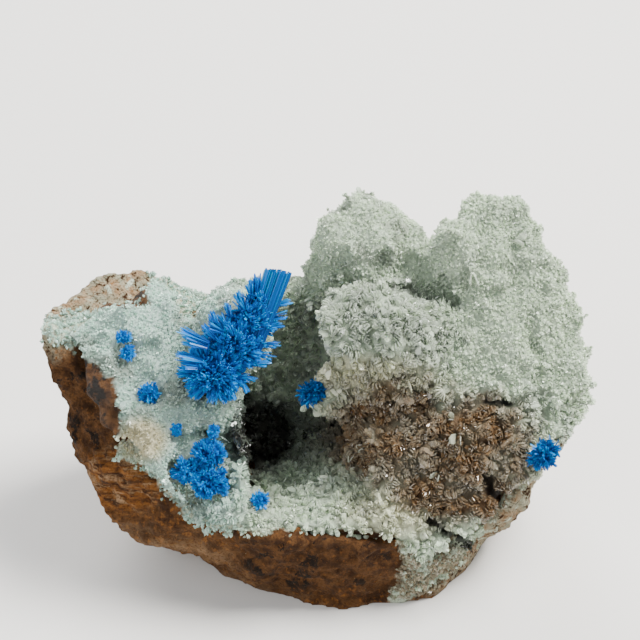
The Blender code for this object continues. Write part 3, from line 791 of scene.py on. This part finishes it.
def place_crystals(name, shape, material, parts):
    """Makes the crystals, in as many pieces as keeps each one small."""
    batches = max(1, math.ceil(len(parts["root"]) * len(shape[1]) / MOST_TRIANGLES))
    x = parts["root"][:, 0]
    limits = np.quantile(x, np.linspace(0, 1, batches + 1))
    limits[-1] += 1
    masks = [label for label in parts if label not in ("root", "way", "side", "size")]
    for number in range(batches):
        part = (x >= limits[number]) & (x < limits[number + 1])
        made = {label: values[part] for label, values in parts.items()}
        mesh = crystals_mesh(
            f"{name}_{number + 1}", shape, made["root"], made["way"], made["side"], made["size"],
            {label: made[label] for label in masks},
        )
        new_piece(mesh.name, mesh, material)


def grow_druse(skin):
    """Fans of small flat crystals over all of the druse that can be seen."""
    roots, normals = scatter(skin.data, DRUSE_SPACING)
    size = crystal_sizes(roots, normals)
    lip = (size > FINE_BELOW) & (in_region(roots, LIP) > 0.5)
    closeness = 0.49 + 0.12 * np.maximum(lip, in_brown_patches(roots))
    kept = rng.random(len(size)) < np.minimum(1, (closeness / size) ** 2)
    apart = distance_to(STONE_TREE, roots[kept] + normals[kept] * 0.8 * MM) > CLEAR_OF * MM
    behind = (roots[kept][:, 1] > 3 * MM) & (normals[kept][:, 2] > -0.3)
    kept[kept] &= apart | behind | displayed(roots[kept], normals[kept])
    kept[kept] &= free_of_sprays(roots[kept])
    kept[kept] &= slot_of(roots[kept]) < 0.5
    edge = roots[kept][:, 0] < LEFT_EDGE * MM
    covered = np.nan_to_num(pale_area(roots[kept], normals[kept], edge), nan=1.0)
    kept[kept] &= covered > -0.1 - 0.6 * rng.random(len(covered)) ** 4
    roots, normals, size = roots[kept], normals[kept], size[kept]
    masks = druse_masks(roots)
    fine = size < FINE_BELOW
    lip = lip[kept]
    clear = ~fine & ~lip & (masks["brown"] > 0.5)
    # Name, shape, material, which roots, crystals in a fan, flatness
    styles = [
        ("druse_fine", FINE_CRYSTAL, DRUSE_CRYSTAL, fine, 3, 0.45),
        ("druse_lip", PLATE_CRYSTAL, CLEAR_CRYSTAL, lip, 4, 0.15),
        ("druse_stained", PLATE_CRYSTAL, CLEAR_CRYSTAL, clear, 4, 0.2),
        ("druse_plates", PLATE_CRYSTAL, DRUSE_CRYSTAL, ~fine & ~lip & ~clear, 4, 0.18),
    ]
    for name, shape, material, part, in_fan, flatness in styles:
        chosen = {label: values[part] for label, values in masks.items()}
        made = fans(roots[part], normals[part], size[part], in_fan, flatness, chosen)
        place_crystals(name, shape, material, made)


def grow_large_plates():
    """A few larger clear plates that catch the light."""
    roots = np.array([surface_at(*place) for place in LARGE_PLATES])
    ways = unit(TO_VIEWER + 0.8 * random_ways(len(roots)))
    masks = druse_masks(roots)
    masks["brown"] = masks["brown"] * 0.3
    made = fans(roots, ways, np.full(len(roots), LARGE_PLATE), in_fan=2, flatness=0.16, masks=masks)
    place_crystals("druse_large_plates", PLATE_CRYSTAL, CLEAR_CRYSTAL, made)


def grow_crust(stone):
    """The thin crust of fine crystals that spreads from the druse over the stone's display side."""
    roots, normals = scatter(stone.data, CRUST_SPACING)
    kept = np.nan_to_num(pale_area(roots, normals), nan=-9.0) > -0.6 * rng.random(len(roots)) ** 4
    kept &= (normals @ TO_VIEWER > -0.1) & (roots[:, 2] > 0.7 * MM)
    kept[kept] &= free_of_sprays(roots[kept])
    roots, normals = roots[kept], normals[kept]
    masks = druse_masks(roots)
    stained = 0.7 * in_region(roots, RIM_CRUST) * (clouds(roots, 1.5, 8.0) > -0.3)
    masks["brown"] = np.maximum(masks["brown"], stained)
    made = fans(roots, normals, np.full(len(roots), CRUST_CRYSTAL), in_fan=3, flatness=0.4, masks=masks)
    place_crystals("stone_crust", FINE_CRYSTAL, DRUSE_CRYSTAL, made)


# Blue sprays


def shared_out(total, balls):
    """How many of a total fall to each ball, by its surface."""
    surface = np.array([r[0] * r[1] + r[1] * r[2] + r[0] * r[2] for _, r in balls])
    return np.round(total * surface / surface.sum()).astype(int)


class Needles:
    """Collects the needles of one spray, in millimetres."""

    def __init__(self):
        self.roots, self.ways, self.sizes = [], [], []

    def add_cluster(self, root, way, length, spread, count, width):
        """A bundle of needles from one root: the outer ones lean out and are shorter."""
        way = unit(np.array(way, float))
        offset = random_ways(count) * rng.random((count, 1)) ** 0.5
        offset -= way * (offset @ way)[:, None]
        out = np.linalg.norm(offset, axis=1)
        ways = unit(way + offset * spread + 0.06 * random_ways(count))
        reach = length * (1 - 0.55 * out * rng.random(count)) * rng.uniform(0.85, 1.1, count)
        across = width * rng.uniform(0.6, 1.5, count)
        self.roots.append(np.array(root) + offset * 0.16 * length ** 0.5)
        self.ways.append(ways)
        self.sizes.append(np.stack([across * 1.25, across * 0.8, reach], axis=1))

    def add_ball_clusters(self, balls, source, axis, lean, clusters, length, count, width):
        """Clusters all over the lumps of a core, away from a source and leaning along an axis."""
        for (centre, radii), number in zip(balls, shared_out(clusters, balls)):
            for turn in random_ways(number):
                root = np.array(centre) + turn * np.array(radii) * 0.7
                out = unit(turn / np.array(radii))
                way = unit(out * 0.75 + unit(root - np.array(source)) * 0.5) + lean * np.array(axis)
                way = unit(way + 0.2 * random_ways(1)[0])
                inside = float(np.mean(radii)) * 0.28
                self.add_cluster(root, way, inside + length * rng.uniform(0.5, 1.0), 0.42, count, width)

    def add_blades(self, balls, count, length, width):
        """Short flat blades that stand at all angles over a core and close the view to it."""
        for (centre, radii), number in zip(balls, shared_out(count, balls)):
            turns = random_ways(number)
            ways = unit(unit(turns / np.array(radii)) + 0.9 * random_ways(number))
            reach = length * rng.uniform(0.6, 1.3, number)
            feet = np.array(centre) + turns * np.array(radii) * 0.74
            self.roots.append(feet - ways * (0.25 * reach)[:, None])
            self.ways.append(ways)
            across = width * rng.uniform(0.6, 1.4, number)
            self.sizes.append(np.stack([across, across * 0.35, reach], axis=1))

    def make(self, name, shape=None, replaces=True):
        roots, ways, sizes = (np.concatenate(part) for part in (self.roots, self.ways, self.sizes))
        shaded = SHADED.get(name, 0.0) * rng.uniform(0.5, 1.0, len(roots))
        masks = {"tint": rng.random(len(roots)) ** 2, "shaded": shaded}
        sides = random_ways(len(roots))
        mesh = crystals_mesh(name, shape or NEEDLE, roots * MM, ways, sides, sizes * MM, masks)
        piece = new_piece(name, mesh, CAVANSITE)
        if replaces:
            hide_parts(CAD_NODE[name])


def make_core(name, balls, share, detail=2):
    """The dark heart of a spray, which closes the view between its needles: its dark colour is painted
    shade.
    """
    core = bmesh.new()
    for centre, radii in balls:
        add_ball(core, centre, radii, detail, share)
    mesh = bpy.data.meshes.new(name + "_core")
    core.to_mesh(mesh)
    core.free()
    new_piece(name + "_core", mesh, CAVANSITE_CORE)


# Small tufts: the share of the node's box that is core, the clusters, the needles in each
SMALL_TUFTS = {
    "hollow_ball": (0.74, 44, 16), "right_rosette": (0.78, 50, 16), "left_tuft_upper": (0.7, 22, 12),
    "left_tuft_lower": (0.7, 22, 12), "left_rosette": (0.72, 28, 14), "crevice_tuft": (0.7, 24, 12),
    "small_dot": (0.7, 18, 10), "front_tuft": (0.6, 24, 12),
}
CAD_NODE = {name: "cavansite_" + name for name in ("main_spray", "lower_spray", *SMALL_TUFTS)}

# Where the lobes of a tuft lie, as shares of its box; the others have theirs at random
TUFT_LOBES = {"right_rosette": [(0.7, 0.0, 0.8), (-0.7, 0.0, -0.8), (0.1, -0.8, 0.1)]}

# The way the main spray grows, and the lumps of its core: centre and radii
MAIN_AXIS = unit(np.array((0.31, 0.33, 0.89)))
MAIN_BALLS = [
    ((-11.2, -6.6, 25.7), (3.0, 2.3, 2.6)), ((-9.0, -5.0, 27.9), (3.0, 1.8, 2.4)),
    ((-7.4, -3.4, 30.1), (2.3, 1.3, 2.0)), ((-6.4, -2.3, 32.0), (1.3, 0.9, 1.5)),
]
# Needle bundles that give the main spray its outline: root, tip, needles, width of a needle
MAIN_BUNDLES = [
    ((-4.9, -2.5, 31.3), (-2.9, -2.2, 31.7), 5, 0.30),
    ((-5.6, -3.2, 30.0), (-3.4, -3.0, 30.4), 8, 0.16),
    ((-6.0, -3.8, 29.3), (-3.8, -3.6, 29.3), 8, 0.14),
    ((-6.6, -4.6, 27.7), (-4.1, -4.6, 27.7), 12, 0.15),
    ((-7.2, -5.2, 26.9), (-4.6, -5.4, 26.6), 8, 0.14),
    ((-7.9, -6.2, 26.2), (-3.9, -6.0, 25.9), 4, 0.30),
    ((-8.4, -7.4, 25.4), (-7.5, -8.3, 23.9), 4, 0.24),
    ((-8.6, -6.8, 25.4), (-6.7, -7.0, 24.7), 10, 0.15),
    ((-11.6, -6.2, 29.3), (-14.7, -6.0, 30.9), 22, 0.15),
    ((-11.8, -6.6, 28.9), (-14.3, -6.6, 29.8), 16, 0.16),
    ((-11.8, -7.0, 27.2), (-14.9, -7.3, 28.5), 26, 0.17),
    ((-11.9, -7.4, 26.8), (-14.6, -7.8, 27.3), 18, 0.16),
    ((-12.0, -7.4, 25.6), (-14.2, -8.2, 25.1), 14, 0.17),
    ((-11.6, -7.8, 25.0), (-13.4, -8.8, 23.8), 20, 0.15),
    ((-10.8, -8.0, 24.9), (-11.3, -9.2, 23.4), 20, 0.15),
    ((-9.6, -7.8, 25.2), (-9.0, -8.9, 23.6), 20, 0.15),
    ((-10.6, -5.0, 30.2), (-11.4, -4.7, 32.3), 18, 0.15),
    ((-9.4, -4.4, 31.2), (-9.8, -4.1, 33.0), 18, 0.15),
    ((-8.2, -3.6, 32.2), (-8.4, -3.3, 34.0), 18, 0.15),
    ((-7.2, -3.0, 33.0), (-7.4, -2.6, 34.6), 18, 0.15),
    ((-6.6, -2.9, 32.6), (-6.7, -2.2, 35.0), 24, 0.15),
    ((-6.0, -3.2, 31.5), (-6.2, -3.2, 33.8), 24, 0.15),
    ((-10.0, -5.4, 30.0), (-11.9, -5.2, 31.2), 18, 0.15),
    ((-9.0, -5.6, 29.6), (-9.6, -6.0, 31.3), 20, 0.15),
    ((-10.8, -5.6, 29.2), (-12.3, -5.4, 30.9), 26, 0.16),
    ((-9.6, -5.0, 29.9), (-10.5, -4.7, 31.8), 26, 0.16),
    ((-7.9, -3.8, 31.6), (-8.9, -3.5, 33.4), 22, 0.16),
]
# How far the needles of a spray are darkened
SHADED = {"hollow_ball": 0.85, "right_rosette": 0.45, "main_spray_on_its_end": 0.7}
# The main spray's flat ribbed bundle: the middles of its foot and of its cut end, its width at each
RIBBED = ((-7.1, -5.4, 28.2), (-4.3, -1.2, 35.3), 1.8, 2.5)


def ribbed_bundle():
    """Long prisms side by side, with the cut end of each almost level with the next."""
    foot, end, narrow, wide = (np.array(part) for part in RIBBED)
    along = unit(end - foot)
    across = unit(np.cross(TO_VIEWER, along))
    deep = np.cross(along, across)
    made = Needles()
    for layer in (0.35, 0.0, -0.35):
        for place in np.linspace(-0.5, 0.5, 11):
            place = place + rng.uniform(-0.02, 0.02)
            start = foot + across * place * narrow + deep * layer + along * rng.uniform(-0.5, 0.6)
            shorter = 0.35 * rng.random() + 0.5 * (place + 0.5)
            stop = end + across * place * wide + deep * layer - along * shorter
            length = np.linalg.norm(stop - start)
            made.roots.append(start[None, :])
            made.ways.append(unit(stop - start)[None, :])
            made.sizes.append(np.array([[rng.uniform(0.16, 0.34), rng.uniform(0.2, 0.4), length]]))
    made.make("main_spray_on_its_end", PRISM, replaces=False)


def grow_main_spray():
    made = Needles()
    made.add_ball_clusters(
        MAIN_BALLS, MAIN_BALLS[0][0], MAIN_AXIS,
        lean=0.35, clusters=210, length=1.2, count=24, width=0.15,
    )
    made.add_blades(MAIN_BALLS, count=1500, length=0.85, width=0.36)
    for root, tip, count, width in MAIN_BUNDLES:
        reach = np.array(tip) - np.array(root)
        length = float(np.linalg.norm(reach))
        made.add_cluster(root, reach, length, spread=0.22, count=count, width=width)
    made.make("main_spray")
    make_core("main_spray", MAIN_BALLS, share=0.78, detail=3)
    ribbed_bundle()


# The lumps of the lower spray's core
LOWER_BALLS = [
    ((-11.8, -11.2, 18.0), (1.5, 1.2, 1.4)), ((-11.7, -12.8, 15.7), (1.8, 1.4, 1.5)),
    ((-14.0, -12.3, 16.8), (1.4, 0.9, 0.9)),
]


def grow_lower_spray():
    made = Needles()
    toward_view = np.array((0.0, -0.77, 0.64))
    made.add_ball_clusters(
        LOWER_BALLS, LOWER_BALLS[1][0], toward_view,
        lean=0.25, clusters=110, length=0.85, count=22, width=0.13,
    )
    made.add_blades(LOWER_BALLS, count=600, length=0.7, width=0.3)
    made.make("lower_spray")
    make_core("lower_spray", LOWER_BALLS, share=0.78, detail=3)


def grow_small_tufts():
    for name, (share, clusters, count) in SMALL_TUFTS.items():
        low, high = (np.array(corner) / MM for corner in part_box(CAD_NODE[name]))
        middle, half = (low + high) / 2, (high - low) / 2
        balls = [(tuple(middle), tuple(half * share * 0.75))]
        for turn in TUFT_LOBES.get(name, random_ways(3)):
            lobe = half * share * rng.uniform(0.5, 0.7)
            balls.append((tuple(middle + half * np.array(turn) * 0.42), tuple(lobe)))
        made = Needles()
        reach = float(half.min()) * (1 - share) * 1.7
        made.add_ball_clusters(
            balls, middle, MAIN_AXIS,
            lean=0.0, clusters=clusters, length=reach, count=count, width=0.12,
        )
        made.add_blades(balls, count=clusters * 7, length=reach * 1.9, width=0.28)
        made.make(name)
        make_core(name, balls, share=0.8)


def socket_balls():
    """Balls that close the druse up to the foot of each blue spray."""
    made = []
    for name in CAD_NODE:
        low, high = (np.array(corner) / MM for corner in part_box(CAD_NODE[name]))
        middle, size = (low + high) / 2, high - low
        inward = np.array((0.0, 0.77, -0.64)) * 0.35 * size.min()
        share = {"main_spray": 0.33, "lower_spray": 0.44}.get(name, 0.4)
        made.append((tuple(middle + inward), tuple(size * share)))
    return made


def rim_balls():
    """Balls that close the seam between the druse and the stone's front rim."""
    made = []
    for start, end in zip(RIM_SEAM, RIM_SEAM[1:]):
        for share in np.linspace(0, 1, 7)[:-1]:
            x, rise = np.array(start) * (1 - share) + np.array(end) * share
            above, below = (surface_at(x, rise + step) for step in (0.9, -0.9))
            centre = (above + below) / 2 - VIEW_BACK * 0.8 * MM
            made.append((tuple(centre / MM), (1.1, 1.1, 1.1)))
    return made


def tower_balls():
    """Balls that round the tops of the two towers."""
    made = []
    for (x, rise), (right, up), radius in TOWER_SWELLS:
        centre = surface_at(x, rise) / MM - VIEW_BACK * radius + VIEW_UP * up + Vector((right, 0, 0))
        made.append((tuple(centre), (radius, radius, radius)))
    return made


basalt_stone = make_stone()
druse_base = make_druse_skin(socket_balls() + rim_balls() + tower_balls())
grow_druse(druse_base)
grow_large_plates()
grow_crust(basalt_stone)
grow_main_spray()
grow_lower_spray()
grow_small_tufts()


# Floor, lights and camera


def make_floor():
    bm = bmesh.new()
    bmesh.ops.create_grid(bm, x_segments=1, y_segments=1, size=1.5)
    mesh = bpy.data.meshes.new("studio_floor")
    bm.to_mesh(mesh)
    bm.free()
    floor = bpy.data.objects.new("studio_floor", mesh)
    bpy.context.scene.collection.objects.link(floor)
    made = start_material("pale_floor", Roughness=0.7, Base_Color=(0.72, 0.70, 0.67, 1))[0]
    mesh.materials.append(made)


def add_light(name, place, power, size, colour):
    lamp = bpy.data.lights.new(name, "AREA")
    lamp.energy = power
    lamp.size = size
    lamp.color = colour
    made = bpy.data.objects.new(name, lamp)
    made.location = Vector(place)
    aim = VIEW_TARGET - Vector(place)
    made.rotation_euler = aim.to_track_quat("-Z", "Y").to_euler()
    bpy.context.scene.collection.objects.link(made)


def make_studio():
    make_floor()
    add_light("key", (0.24, 0.06, 0.42), power=7.3, size=0.22, colour=(1.0, 0.99, 0.96))
    add_light("fill", (-0.34, -0.34, 0.34), power=2.0, size=0.40, colour=(0.95, 0.98, 1.0))
    add_light("rim", (-0.10, 0.42, 0.30), power=3.0, size=0.25, colour=(1.0, 1.0, 1.0))
    world = bpy.data.worlds.new("studio")
    bpy.context.scene.world = world
    world.use_nodes = True
    sky = world.node_tree.nodes["Background"]
    sky.inputs["Color"].default_value = (0.80, 0.82, 0.85, 1)
    sky.inputs["Strength"].default_value = 0.66
    view = bpy.data.cameras.new("photo_view")
    view.sensor_width = 36
    view.lens = view.sensor_width / 2 / math.tan(VIEW_ANGLE / 2)
    view.clip_start = 0.01
    camera = bpy.data.objects.new("photo_view", view)
    camera.location = VIEW_TARGET + VIEW_BACK * VIEW_DISTANCE
    camera.rotation_euler = (-VIEW_BACK).to_track_quat("-Z", "Y").to_euler()
    bpy.context.scene.collection.objects.link(camera)
    bpy.context.scene.camera = camera


make_studio()
